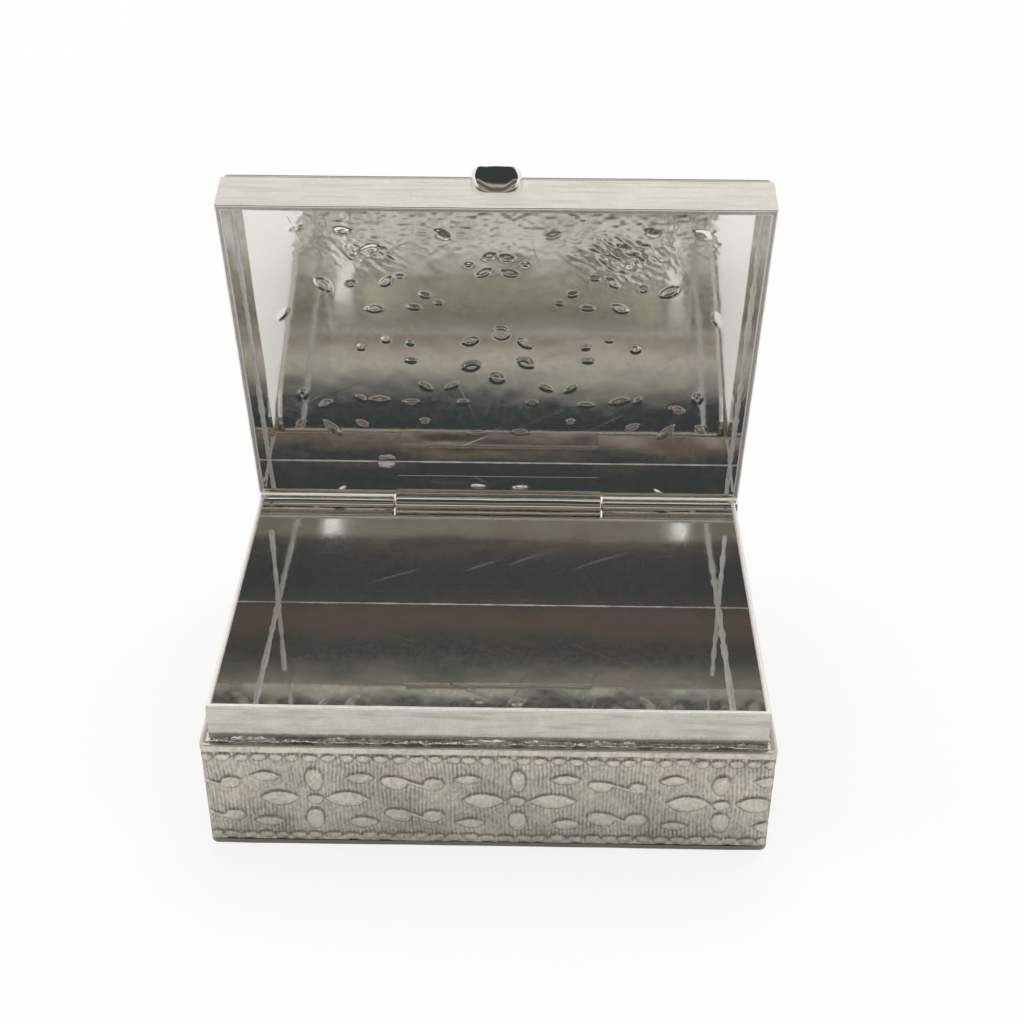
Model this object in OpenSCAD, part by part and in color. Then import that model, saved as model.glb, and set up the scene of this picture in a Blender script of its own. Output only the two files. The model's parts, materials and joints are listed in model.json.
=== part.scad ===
// Small rectangular silver box with a hinged lid, drawn with the lid standing open.
// Millimetres, +Z up, front towards -Y, origin at the centre of the underside.

/* [Box] */
// Width of the box across its front
box_w = 57; // [40:0.5:90]
// Depth of the box from front to rear, without the hinge
box_d = 41.3; // [30:0.1:70]
// Height of the patterned band, which ends at the ledge
band_h = 13.4; // [9:0.1:24]
// Thickness of the band's sheet
band_t = 0.65; // [0.5:0.05:0.9]
// Thickness of the base plate
base_t = 0.7; // [0.4:0.05:1.5]
// Radius of the upright outer corners
corner_r = 0.8; // [0.5:0.05:1.5]
// Radius of the lower edge all round
edge_r = 0.45; // [0.2:0.05:0.6]

/* [Stamped pattern] */
// Height of the stamped ornament above the ground of the band
relief_h = 0.2; // [0.1:0.02:0.3]
// Height of the plain lip along the top of the band
lip_h = 0.9; // [0.5:0.05:1.2]
// Height of the flowers above the underside
flower_z = 6.3; // [5:0.1:7]
// Distance from one flower to the next
motif_pitch = 20.4; // [19:0.2:24]
// Distance of the first flower from the middle of the front
motif_shift = 3; // [0:0.1:10]
// Diameter of a flower's centre
eye_d = 1.4; // [0.8:0.05:1.6]
// Length of a large petal beside the flower's centre
petal_l = 4.2; // [2.5:0.1:4.4]
// Width of a large petal
petal_w = 2; // [1:0.05:2.2]
// Gap between the flower's centre and its petals
petal_gap = 0.55; // [0.3:0.05:0.8]
// Width of the buds above and below the centre
bud_w = 1.5; // [0.9:0.05:2]
// Height of those buds
bud_h = 2.8; // [2.1:0.1:3]
// Length of a small loose leaf
leaf_l = 2.8; // [1.8:0.1:3.2]
// Width of a small loose leaf
leaf_w = 1.5; // [0.8:0.05:1.7]
// Distance of the loose leaves above and below the flower's centre
leaf_rise = 3.1; // [2.8:0.1:3.5]
// Diameter of a scroll's round ends
scroll_d = 1.85; // [1:0.05:2]
// Distance between a scroll's two ends
scroll_span = 3.7; // [2.6:0.1:4]
// Width of the bar that joins a scroll's ends
scroll_bar = 0.7; // [0.4:0.05:0.9]
// Distance of the scrolls above and below the middle
scroll_rise = 2.2; // [1.9:0.1:2.5]
// Diameter of a bead
bead_d = 1.2; // [0.7:0.05:1.3]
// Distance from one bead to the next
bead_pitch = 1.75; // [1.5:0.05:2.5]
// Distance from the ledge down to the upper row of beads
bead_drop = 1.6; // [1.55:0.05:2]
// Height of the lower row of beads above the underside
low_bead_z = 1.35; // [1.3:0.05:1.6]

/* [Collar] */
// Thickness of the plain strips that line the box
liner_t = 0.5; // [0.3:0.05:0.8]
// Distance from the outside of the band in to the collar
collar_inset = 1; // [0.95:0.01:1.4]
// Height of the collar above the ledge
collar_h = 4.25; // [2:0.05:4.5]
// Length of the slope at the rear end of the collar's sides
collar_slope_l = 2.1; // [1:0.1:5]
// Drop of that slope
collar_slope_drop = 1.45; // [0.5:0.05:1.8]
// Depth of the solder that fills the gap between collar and band
ledge_solder_h = 1.2; // [0.5:0.1:3]
// Side of the solder fillets in the upright inner corners
fillet_s = 0.4; // [0.2:0.05:0.6]

/* [Lid] */
// Height of the lid from its rim to the edge of its cover plate
lid_h = 5.65; // [5.3:0.05:9]
// Thickness of the lid's walls
lid_wall_t = 0.65; // [0.4:0.05:0.7]
// Thickness of the cover plate
cover_t = 0.6; // [0.4:0.05:0.8]
// Rise of the cushioned cover plate above its edge
cover_rise = 0.7; // [0.4:0.05:1.5]
// Width of the flat margin round the cushion
cover_margin = 1.2; // [0.8:0.1:3]
// Gap between the lid's rim and the ledge when shut
rim_gap = 0.1; // [0.05:0.05:0.3]
// Angle by which the lid stands open
open_angle = 78; // [0:1:90]

/* [Hinge] */
// Radius of the hinge pin
pin_r = 0.55; // [0.4:0.05:0.7]
// Distance of the pin's ends inside the outer ends of the knuckles
pin_inset = 0.1; // [0:0.05:0.5]
// Running clearance round the pin in the lid's knuckle
pin_clearance = 0.05; // [0.02:0.01:0.1]
// Radius of the box's two knuckles
knuckle_r = 1.35; // [1.1:0.05:1.4]
// Radius of the lid's knuckle
lid_knuckle_r = 1.85; // [1.65:0.05:1.9]
// Length of the lid's knuckle
lid_knuckle_l = 24; // [14:0.5:34]
// Gap between the ends of neighbouring knuckles
knuckle_gap = 0.55; // [0.3:0.05:1]
// Distance of the hinge axis behind the box
axis_back = 1.6; // [1.6:0.05:2]
// Height of the hinge axis above the ledge
axis_up = 0.15; // [0.1:0.05:0.4]
// Clearance between the lid's knuckle and the box
knuckle_clearance = 0.15; // [0.1:0.05:0.2]
// Height of the foot that joins each box knuckle to the band
foot_h = 2.2; // [1.8:0.1:3]
// Height of the strip inside the lid's rear wall
strip_h = 2.5; // [1:0.1:3.5]
// Thickness of that strip
strip_t = 0.35; // [0.2:0.05:0.5]

/* [Thumbpiece] */
// Radius of the thumbpiece where it meets the lid
thumb_r = 2.75; // [1.5:0.05:4]
// Distance that the thumbpiece stands out
thumb_out = 1.9; // [0.5:0.05:2.4]
// Height of the thumbpiece, with the tip that lies inside the lid's wall
thumb_h = 3.2; // [2:0.1:4.4]
// Distance of its flat top below the cover plate's edge
thumb_drop = 0.8; // [0:0.05:0.9]

/* [Hidden] */
SMOOTH = 48; // facets of a small round in a quick view
ROUND = 96; // facets of the leaves and the thumbpiece
FINE = 720; // facets of the cover plate's very large rounds
EPS = 0.01; // how far a cutter runs past the face it cuts
PAST = 1; // how far a large cutter reaches beyond the piece it cuts
THUMB_WAIST = [0.6, 0.45]; // radius and height, as shares of the whole, where the thumbpiece's slope steepens
THUMB_TIP = 0.2; // radius of its lower end as a share of the upper
BURY = 0.07; // how far the corner of a knuckle's foot lies inside the tube

half_w = box_w / 2;
half_d = box_d / 2;
collar_x = half_w - collar_inset;
collar_front = half_d - collar_inset;
liner_rear_y = half_d - band_t;
liner_top = band_h + collar_h;
inner_x = collar_x - liner_t;
inner_front = collar_front - liner_t;
inner_rear = liner_rear_y - liner_t;
axis_y = half_d + axis_back;
axis_z = band_h + axis_up;
rim_z = band_h + rim_gap;
cover_z = rim_z + lid_h - cover_t;
lid_in_x = half_w - lid_wall_t;
lid_in_y = half_d - lid_wall_t;
lid_corner_r = corner_r;
box_knuckle_x = lid_knuckle_l / 2 + knuckle_gap;
box_knuckle_l = half_w - box_knuckle_x;
pin_l = box_w - 2 * pin_inset;
thumb_top_r = (thumb_r * thumb_r + thumb_out * thumb_out) / (2 * thumb_out);

// rectangle with round corners, centred on the origin
module round_rect(w, d, r) {
    square([w - 2 * r, d], center = true);
    square([w, d - 2 * r], center = true);
    for (x = [-1, 1], y = [-1, 1])
        translate([x * (w / 2 - r), y * (d / 2 - r)]) circle(r, $fn = SMOOTH);
}

// plate whose lower edge is rounded all round: a plan and two side profiles meet
module round_bottom(w, d, h, r_plan, r_edge) {
    intersection() {
        linear_extrude(h) round_rect(w, d, r_plan);
        rotate([90, 0, 0]) linear_extrude(d, center = true) round_low(w, h, r_edge);
        rotate([90, 0, 90]) linear_extrude(w, center = true) round_low(d, h, r_edge);
    }
}

// side profile with its two lower corners rounded
module round_low(w, h, r) {
    translate([-w / 2, r]) square([w, h - r]);
    translate([r - w / 2, 0]) square([w - 2 * r, h]);
    for (x = [-1, 1]) translate([x * (w / 2 - r), r]) circle(r, $fn = SMOOTH);
}

// wedge that cuts one side out of a frame along mitred corners, side towards -Y
module mitre(w, d, h) {
    reach = min(w, d) / 2;
    linear_extrude(h)
        polygon([[-w / 2 - PAST, -d / 2 - PAST], [w / 2 + PAST, -d / 2 - PAST],
            [w / 2 - reach, reach - d / 2], [reach - w / 2, reach - d / 2]]);
}

// moves a shape that is drawn shut to where the lid stands
module lid_pose() {
    translate([0, axis_y, axis_z]) rotate([-open_angle, 0, 0]) translate([0, -axis_y, -axis_z])
        children();
}

// pointed leaf, where two equal circles overlap, lying along X
module leaf(l, w) {
    r = (l * l + w * w) / (4 * w);
    intersection() {
        translate([0, r - w / 2]) circle(r, $fn = ROUND);
        translate([0, w / 2 - r]) circle(r, $fn = ROUND);
    }
}

// upright bud with round ends
module bud() {
    square([bud_w, bud_h - bud_w], center = true);
    for (y = [-1, 1]) translate([0, y * (bud_h - bud_w) / 2]) circle(d = bud_w, $fn = SMOOTH);
}

// lying scroll: a bar runs from the top of the left round end to the foot of the right one
module scroll() {
    fall = scroll_d - scroll_bar;
    for (x = [-1, 1]) translate([x * scroll_span / 2, 0]) circle(d = scroll_d, $fn = SMOOTH);
    rotate(-atan2(fall, scroll_span)) square([norm([scroll_span, fall]), scroll_bar], center = true);
}

// flower with four loose leaves, and the pair of scrolls half a pitch to its right
module motif() {
    petal_x = eye_d / 2 + petal_gap + petal_l / 2;
    leaf_x = petal_x + petal_l / 2 - leaf_l / 4;
    bud_y = (eye_d + bud_h) / 2 + petal_gap;
    circle(d = eye_d, $fn = SMOOTH);
    for (x = [-1, 1]) translate([x * petal_x, 0]) leaf(petal_l, petal_w);
    for (x = [-1, 1], y = [-1, 1]) translate([x * leaf_x, y * leaf_rise]) leaf(leaf_l, leaf_w);
    for (y = [-1, 1]) {
        translate([0, y * bud_y]) bud();
        translate([motif_pitch / 2, y * scroll_rise]) scroll();
    }
}

// one side's ornament, l long, drawn flat: the side's middle at X = 0 and the underside at Y = 0.
// The pattern runs on round the corners: place is where this side's middle lies along it.
module side_pattern(l, place) {
    span = l / 2 - corner_r;
    reach = span + motif_pitch;
    bead_reach = span - bead_d / 2;
    intersection() {
        translate([-span, 0]) square([2 * span, band_h]);
        for (i = [ceil((place - reach - motif_shift) / motif_pitch) :
                floor((place + reach - motif_shift) / motif_pitch)])
            translate([i * motif_pitch + motif_shift - place, flower_z]) motif();
    }
    for (i = [ceil((place - bead_reach) / bead_pitch) : floor((place + bead_reach) / bead_pitch)],
            z = [band_h - bead_drop, low_bead_z])
        translate([i * bead_pitch - place, z]) circle(d = bead_d, $fn = SMOOTH);
}

// raises one side's ornament on the ground; the side's middle is out along -Y, then turned
module raised_side(l, out, turn, place) {
    rotate(turn) translate([0, relief_h + EPS - out, 0]) rotate([90, 0, 0])
        linear_extrude(relief_h + EPS) side_pattern(l, place);
}

module base_plate() {
    color("#b3aea6") round_bottom(box_w, box_d, base_t, corner_r, edge_r);
}

// one stamped strip bent round the box, butted at the rear left corner
module embossed_band() {
    recess_r = lid_knuckle_r + knuckle_clearance;
    recess_l = lid_knuckle_l + 2 * knuckle_gap;
    ground_w = box_w - 2 * relief_h;
    ground_d = box_d - 2 * relief_h;
    color("#bab3a8") difference() {
        union() {
            translate([0, 0, base_t]) linear_extrude(band_h - base_t)
                round_rect(ground_w, ground_d, corner_r - relief_h);
            translate([0, 0, band_h - lip_h]) linear_extrude(lip_h) round_rect(box_w, box_d, corner_r);
            raised_side(box_w, half_d, 0, 0);
            raised_side(box_d, half_w, 90, half_w + half_d);
            raised_side(box_w, half_d, 180, box_w + box_d);
            raised_side(box_d, half_w, 270, -half_w - half_d);
        }
        translate([band_t - half_w, band_t - half_d, 0])
            cube([box_w - 2 * band_t, box_d - 2 * band_t, band_h + PAST]);
        translate([-recess_l / 2, axis_y, axis_z]) rotate([0, 90, 0])
            cylinder(r = recess_r, h = recess_l, $fn = SMOOTH);
    }
}

module liner_front() {
    color("#c9c8c2") translate([0, 0, base_t]) intersection() {
        translate([-collar_x, -collar_front, 0]) cube([2 * collar_x, liner_t, liner_top - base_t]);
        mitre(2 * collar_x, 2 * collar_front, liner_top);
    }
}

// side strip at +X: mitred in front, sloped down at the rear above the ledge
module liner_side() {
    color("#c9c8c2") difference() {
        translate([inner_x, 0, 0]) rotate([90, 0, 90]) linear_extrude(liner_t)
            polygon([[-collar_front, base_t], [liner_rear_y, base_t], [liner_rear_y, band_h],
                [inner_rear, band_h], [inner_rear, liner_top - collar_slope_drop],
                [inner_rear - collar_slope_l, liner_top], [-collar_front, liner_top]]);
        mitre(2 * collar_x, 2 * collar_front, liner_top + PAST);
    }
}

module liner_left() { mirror([1, 0, 0]) liner_side(); }

module liner_right() { liner_side(); }

module liner_rear() {
    color("#a9a59c") translate([-inner_x, inner_rear, base_t])
        cube([2 * inner_x, liner_t, band_h - base_t]);
}

// solder in the gap between band and collar, along the front and both sides
module ledge_solder() {
    color("#a7a299") translate([0, 0, band_h - ledge_solder_h]) linear_extrude(ledge_solder_h)
        difference() {
            translate([band_t - half_w, band_t - half_d])
                square([box_w - 2 * band_t, box_d - 2 * band_t]);
            translate([-collar_x, -collar_front]) square([2 * collar_x, collar_front + half_d]);
        }
}

// upright solder fillet for an inner corner whose walls lie towards -X and -Y
module corner_fillet(h) {
    linear_extrude(h) polygon([[0, 0], [fillet_s, 0], [0, fillet_s]]);
}

module box_corner_solder() {
    color("#d5d3cc") for (x = [0, 1]) mirror([x, 0, 0]) {
        translate([-inner_x, -inner_front, base_t]) corner_fillet(liner_top - base_t);
        translate([-inner_x, inner_rear, base_t]) rotate(-90) corner_fillet(band_h - base_t);
    }
}

// tube with a foot that runs down on to the band, at +X
module box_knuckle() {
    color("#c4c2bd") difference() {
        union() {
            translate([box_knuckle_x, axis_y, axis_z]) rotate([0, 90, 0])
                cylinder(r = knuckle_r, h = box_knuckle_l, $fn = SMOOTH);
            translate([box_knuckle_x, 0, 0]) rotate([90, 0, 90]) linear_extrude(box_knuckle_l)
                polygon([[half_d, band_h], [half_d, band_h - foot_h],
                    [axis_y, axis_z - knuckle_r + BURY], [axis_y, band_h]]);
        }
        translate([box_knuckle_x - EPS, axis_y, axis_z]) rotate([0, 90, 0])
            cylinder(r = pin_r, h = box_knuckle_l + 2 * EPS, $fn = SMOOTH);
    }
}

module knuckle_left() { mirror([1, 0, 0]) box_knuckle(); }

module knuckle_right() { box_knuckle(); }

module hinge_pin() {
    color("#9b978f") translate([-pin_l / 2, axis_y, axis_z]) rotate([0, 90, 0])
        cylinder(r = pin_r, h = pin_l, $fn = SMOOTH);
}

module knuckle_lid() {
    color("#c4c2bd") lid_pose() translate([-lid_knuckle_l / 2, axis_y, axis_z]) rotate([0, 90, 0])
        difference() {
            cylinder(r = lid_knuckle_r, h = lid_knuckle_l, $fn = SMOOTH);
            translate([0, 0, -EPS])
                cylinder(r = pin_r + pin_clearance, h = lid_knuckle_l + 2 * EPS, $fn = SMOOTH);
        }
}

// the space under a shallow cushion, level along its edges
module cushion(w, d, rise) {
    rx = w * w / (8 * rise) + rise / 2;
    ry = d * d / (8 * rise) + rise / 2;
    intersection() {
        translate([0, 0, rise - rx]) rotate([90, 0, 0]) cylinder(r = rx, h = d, center = true, $fn = FINE);
        translate([0, 0, rise - ry]) rotate([0, 90, 0]) cylinder(r = ry, h = w, center = true, $fn = FINE);
        translate([-w / 2, -d / 2, 0]) cube([w, d, rise + PAST]);
    }
}

module cover_plate() {
    cushion_w = box_w - 2 * cover_margin;
    cushion_d = box_d - 2 * cover_margin;
    color("#c6c4be") lid_pose() translate([0, 0, cover_z]) difference() {
        union() {
            linear_extrude(cover_t) round_rect(box_w, box_d, lid_corner_r);
            translate([0, 0, cover_t]) cushion(cushion_w, cushion_d, cover_rise);
        }
        translate([0, 0, -EPS]) cushion(cushion_w, cushion_d, cover_rise);
    }
}

module lid_frame() {
    translate([0, 0, rim_z]) linear_extrude(cover_z - rim_z) difference() {
        round_rect(box_w, box_d, lid_corner_r);
        square([2 * lid_in_x, 2 * lid_in_y], center = true);
    }
}

module lid_wall_front() {
    color("#dcd8cb") lid_pose() intersection() {
        lid_frame();
        mitre(box_w, box_d, cover_z);
    }
}

module lid_wall_side() {
    color("#c9c8c2") lid_pose() difference() {
        intersection() {
            lid_frame();
            translate([0, -box_d, 0]) cube([box_w, 2 * box_d, cover_z]);
        }
        mitre(box_w, box_d, cover_z + PAST);
        rotate(180) mitre(box_w, box_d, cover_z + PAST);
    }
}

module lid_wall_left() { mirror([1, 0, 0]) lid_wall_side(); }

module lid_wall_right() { lid_wall_side(); }

module lid_wall_rear() {
    color("#b9b6ae") lid_pose() difference() {
        intersection() {
            lid_frame();
            rotate(180) mitre(box_w, box_d, cover_z);
        }
        translate([-lid_knuckle_l / 2, axis_y, axis_z]) rotate([0, 90, 0])
            cylinder(r = lid_knuckle_r, h = lid_knuckle_l, $fn = SMOOTH);
    }
}

module lid_corner_solder() {
    h = cover_z - rim_z;
    color("#d5d3cc") lid_pose() for (x = [0, 1]) mirror([x, 0, 0]) {
        translate([-lid_in_x, -lid_in_y, rim_z + collar_h]) corner_fillet(h - collar_h);
        translate([-lid_in_x, lid_in_y, rim_z]) rotate(-90) corner_fillet(h);
    }
}

// flat strip soldered inside the lid's rear wall, as long as the lid's knuckle
module lid_hinge_strip() {
    color("#aeaaa1") lid_pose() translate([-lid_knuckle_l / 2, lid_in_y - strip_t, rim_z])
        cube([lid_knuckle_l, strip_t, strip_h]);
}

// half of a blunt, bulging cone on the lid's front wall, flat side up
module thumbpiece() {
    low = cover_z + cover_t - thumb_drop - thumb_h;
    reach = thumb_top_r + thumb_out + PAST;
    color("#8f8c86") lid_pose() intersection() {
        translate([0, thumb_top_r - thumb_out - half_d, low]) rotate_extrude($fn = ROUND)
            polygon([[0, 0], [THUMB_TIP * thumb_top_r, 0],
                [THUMB_WAIST[0] * thumb_top_r, THUMB_WAIST[1] * thumb_h], [thumb_top_r, thumb_h], [0, thumb_h]]);
        translate([-reach, -half_d - reach, low]) cube([2 * reach, reach, thumb_h]);
    }
}

base_plate();
embossed_band();
liner_front();
liner_left();
liner_right();
liner_rear();
ledge_solder();
box_corner_solder();
knuckle_left();
knuckle_right();
hinge_pin();
cover_plate();
lid_wall_front();
lid_wall_left();
lid_wall_right();
lid_wall_rear();
lid_corner_solder();
lid_hinge_strip();
knuckle_lid();
thumbpiece();
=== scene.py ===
import json
import math

import bmesh
import bpy
import numpy as np
from mathutils import Matrix, Vector


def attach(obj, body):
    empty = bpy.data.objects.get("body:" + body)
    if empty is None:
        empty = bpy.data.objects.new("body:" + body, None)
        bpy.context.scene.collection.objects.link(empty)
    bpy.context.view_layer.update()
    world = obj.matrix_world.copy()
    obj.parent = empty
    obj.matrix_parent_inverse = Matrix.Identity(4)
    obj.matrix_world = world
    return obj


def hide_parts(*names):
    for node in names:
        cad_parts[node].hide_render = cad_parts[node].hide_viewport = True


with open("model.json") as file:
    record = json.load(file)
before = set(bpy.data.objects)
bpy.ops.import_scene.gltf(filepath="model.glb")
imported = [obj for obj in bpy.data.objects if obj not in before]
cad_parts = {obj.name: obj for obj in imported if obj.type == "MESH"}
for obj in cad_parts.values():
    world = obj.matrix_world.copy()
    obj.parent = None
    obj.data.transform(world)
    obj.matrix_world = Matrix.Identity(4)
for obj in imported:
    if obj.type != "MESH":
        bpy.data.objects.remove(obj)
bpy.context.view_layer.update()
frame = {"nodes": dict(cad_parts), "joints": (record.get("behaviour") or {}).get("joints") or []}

# A small hand-made silver box with a hinged lid, seen open. Sizes are in millimetres until
# a mesh is made, and the lid's pieces are drawn shut and then swung open.
MM = 0.001

# Sizes read from the frame
HINGE = frame["joints"][0]
AXIS = np.array(HINGE["pos_m"]) / MM
OPEN = math.radians(HINGE["range_deg"][1])


def swing(points, angle):
    """Turns points about the hinge's axis. A positive angle lowers the lid."""
    c, s = math.cos(angle), math.sin(angle)
    y, z = points[..., 1] - AXIS[1], points[..., 2] - AXIS[2]
    return np.stack([points[..., 0], AXIS[1] + c * y - s * z, AXIS[2] + s * y + c * z], -1)


def corners(node, shut=False):
    """Lowest and highest corner of a CAD node, as it stands or with the lid shut."""
    points = np.array([v.co for v in frame["nodes"][node].data.vertices]) / MM
    if shut:
        points = swing(points, OPEN)
    return points.min(0), points.max(0)


BAND_LO, BAND_HI = corners("embossed_band")
HALF_W, HALF_D, BAND_H, BASE_T = BAND_HI[0], -BAND_LO[1], BAND_HI[2], BAND_LO[2]
FRONT_LO, FRONT_HI = corners("liner_front")
LINER_T = FRONT_HI[1] - FRONT_LO[1]
LINER_TOP = FRONT_HI[2]
COLLAR_X, COLLAR_FRONT = FRONT_HI[0], -FRONT_LO[1]
REAR_LO, REAR_HI = corners("liner_rear")
INNER_REAR, LINER_REAR = REAR_LO[1], REAR_HI[1]
WALL_LO, WALL_HI = corners("lid_wall_front", shut=True)
RIM_Z, COVER_Z, WALL_T = WALL_LO[2], WALL_HI[2], WALL_HI[1] - WALL_LO[1]
STRIP_LO, STRIP_HI = corners("lid_hinge_strip", shut=True)
KNUCKLE_LO, KNUCKLE_HI = corners("knuckle_lid", shut=True)
LID_KNUCKLE_R = (KNUCKLE_HI[2] - KNUCKLE_LO[2]) / 2
LID_KNUCKLE_X = KNUCKLE_HI[0]
KNUCKLE_R = corners("knuckle_right")[1][2] - AXIS[2]
PIN_LO, PIN_HI = corners("hinge_pin")
PIN_R = (PIN_HI[2] - PIN_LO[2]) / 2
THUMB_LO, THUMB_HI = corners("thumbpiece", shut=True)

# Sizes that no corner of a node gives
CORNER_R = 0.8
BAND_T = 0.65
RELIEF = 0.2
LIP_H = 0.9
COVER_RISE = 0.7
COVER_MARGIN = 1.2
COVER_T = 0.6
COVER_TOP = COVER_Z + COVER_T
SLOPE_L, SLOPE_DROP = 2.1, 1.45
PIN_GAP, KNUCKLE_GAP = 0.05, 0.2
SHEET_EDGE_R, ROOT_R = 0.14, 0.02


def ripple(x, y, seed):
    """Smooth noise from -1 to 1 whose bumps lie one unit apart."""
    x, y = np.broadcast_arrays(x, y)
    i, j = np.floor(x), np.floor(y)
    u, v = x - i, y - j
    u, v = u * u * (3 - 2 * u), v * v * (3 - 2 * v)

    def knot(p, q):
        n = np.sin(p * 127.1 + q * 311.7 + seed * 74.7) * 43758.5453
        return 2 * (n - np.floor(n)) - 1

    low = knot(i, j) * (1 - u) + knot(i + 1, j) * u
    high = knot(i, j + 1) * (1 - u) + knot(i + 1, j + 1) * u
    return low * (1 - v) + high * v


def ease(t):
    """0 below 0, 1 above 1, and a smooth step between."""
    t = np.clip(t, 0, 1)
    return t * t * (3 - 2 * t)


def show(name, data):
    """Puts a mesh, a lamp or a camera in the scene, as an object."""
    thing = bpy.data.objects.new(name, data)
    bpy.context.scene.collection.objects.link(thing)
    return thing


def add_piece(name, points, faces, body, material, replaces=(), relief=None, crease=None):
    """Makes a closed mesh from points in millimetres. A lid's piece is drawn shut."""
    if body == "lid":
        points = swing(points, -OPEN)
    mesh = bpy.data.meshes.new(name)
    mesh.from_pydata((points * MM).tolist(), [], faces)
    shape = bmesh.new()
    shape.from_mesh(mesh)
    bmesh.ops.recalc_face_normals(shape, faces=shape.faces)
    shape.to_mesh(mesh)
    shape.free()
    mesh.shade_smooth()
    if crease:
        mesh.set_sharp_from_angle(angle=math.radians(crease))
    if relief is not None:
        mesh.attributes.new("relief", "FLOAT", "POINT").data.foreach_set("value", relief)
    mesh.materials.append(material)
    piece = show(name, mesh)
    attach(piece, body)
    if replaces:
        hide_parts(*replaces)
    return piece


def sweep(rings, loop=False):
    """Points and faces of equal rings in a row. A loop joins the last to the first, else both
    ends are capped."""
    n, m = rings.shape[:2]
    i = np.arange(n if loop else n - 1)[:, None] * m
    j = np.arange(m)[None, :]
    beside, ahead = (j + 1) % m, (i + m) % (n * m)
    faces = np.stack([i + j, i + beside, ahead + beside, ahead + j], -1).reshape(-1, 4).tolist()
    if not loop:
        faces += [list(range(m))[::-1], list(range((n - 1) * m, n * m))]
    return rings.reshape(-1, 3), faces


# Materials

def linear(code):
    """An sRGB hex value as linear red, green, blue and alpha."""
    parts = [int(code[i:i + 2], 16) / 255 for i in (1, 3, 5)]
    return [c / 12.92 if c <= 0.04045 else ((c + 0.055) / 1.055) ** 2.4 for c in parts] + [1.0]


def add(tree, kind, sockets=None, **settings):
    """Adds a node, sets its settings, and gives each named socket a value or a link."""
    node = tree.nodes.new(kind)
    for key, value in settings.items():
        setattr(node, key, value)
    for key, value in (sockets or {}).items():
        if isinstance(value, bpy.types.NodeSocket):
            tree.links.new(value, node.inputs[key])
        else:
            node.inputs[key].default_value = value
    return node


def per(size_mm):
    """Scale of a pattern whose features are this far apart."""
    return 1 / (size_mm * MM)


def blank_material(name):
    material = bpy.data.materials.new(name)
    material.use_nodes = True
    material.node_tree.nodes.clear()
    return material, material.node_tree


def place(tree, turn=(0, 0, 0), stretch=(1, 1, 1)):
    """The piece's own coordinates, turned, then squeezed along each axis."""
    here = add(tree, "ShaderNodeTexCoord")
    turned = add(tree, "ShaderNodeMapping", {"Vector": here.outputs["Object"], "Rotation": turn})
    return add(tree, "ShaderNodeMapping", {"Vector": turned.outputs["Vector"], "Scale": stretch}).outputs[0]


def silver(name, bright, dull, patch=6.0, rough=(0.1, 0.25), grain=None, dents=None, scratches=0.0,
           turn=0.0, tarnish_and_shade=None, metal=1.0):
    """Silver whose colour goes from bright to dull in patches, and whose roughness swings with them.
    grain is (spacing mm, depth mm, stretch along X), dents (spacing mm, depth mm), scratches a depth in mm,
    turn lays the grain along a tilted piece, tarnish_and_shade darkens what a relief attribute calls low, as
    tarnish and, on the stamped band, as painted shade, and metal is below 1 where a white frost scatters the
    light."""
    material, tree = blank_material(name)
    plain = place(tree)
    cloud = add(tree, "ShaderNodeTexNoise",
                {"Vector": plain, "Scale": per(patch), "Detail": 4.0, "Roughness": 0.6})
    fine = add(tree, "ShaderNodeTexNoise", {"Vector": plain, "Scale": per(patch / 9), "Detail": 3.0})
    colour = add(tree, "ShaderNodeMix", {"Factor": cloud.outputs["Fac"], 6: linear(dull), 7: linear(bright)},
                 data_type="RGBA").outputs[2]
    if tarnish_and_shade:
        low = add(tree, "ShaderNodeAttribute", attribute_name="relief")
        colour = add(tree, "ShaderNodeMix", {"Factor": low.outputs["Fac"], 6: linear(tarnish_and_shade), 7: colour},
                     data_type="RGBA").outputs[2]
    sheen = add(tree, "ShaderNodeMapRange",
                {"Value": fine.outputs["Fac"], "From Min": 0.3, "From Max": 0.7,
                 "To Min": rough[0], "To Max": rough[1]})
    if grain:
        spacing, depth, along = grain
        lay = place(tree, (turn, 0, 0), (1 / along, 1, 1))
        lines = add(tree, "ShaderNodeTexNoise", {"Vector": lay, "Scale": per(spacing), "Detail": 3.0})
        streak = add(tree, "ShaderNodeMapRange",
                     {"Value": lines.outputs["Fac"], "From Min": 0.3, "From Max": 0.5})
        colour = add(tree, "ShaderNodeMix", {"Factor": streak.outputs[0], 6: linear(dull), 7: colour},
                     data_type="RGBA").outputs[2]
    surface = add(tree, "ShaderNodeBsdfPrincipled",
                  {"Base Color": colour, "Metallic": metal, "Roughness": sheen.outputs[0]})
    normal = None

    def bump(height, depth_mm):
        sockets = {"Height": height, "Strength": 1.0, "Distance": depth_mm * MM}
        if normal is not None:
            sockets["Normal"] = normal
        return add(tree, "ShaderNodeBump", sockets).outputs["Normal"]

    if dents:
        spacing, depth = dents
        hollow = add(tree, "ShaderNodeTexNoise", {"Vector": plain, "Scale": per(spacing), "Detail": 2.0})
        normal = bump(hollow.outputs["Fac"], depth)
    if grain:
        normal = bump(lines.outputs["Fac"], depth)
    if scratches:
        for way in (0.5, 1.9):
            # only the tips of a noise drawn out along its way are cut, far apart and a hair wide
            lay = place(tree, (turn, 0, way), (0.06, 1, 1))
            lines = add(tree, "ShaderNodeTexNoise", {"Vector": lay, "Scale": per(0.9), "Detail": 0.0})
            thin = add(tree, "ShaderNodeMapRange",
                       {"Value": lines.outputs["Fac"], "From Min": 0.8, "From Max": 0.82})
            normal = bump(thin.outputs[0], scratches)
    if normal is not None:
        tree.links.new(normal, surface.inputs["Normal"])
    end = add(tree, "ShaderNodeOutputMaterial")
    tree.links.new(surface.outputs[0], end.inputs["Surface"])
    return material


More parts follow.
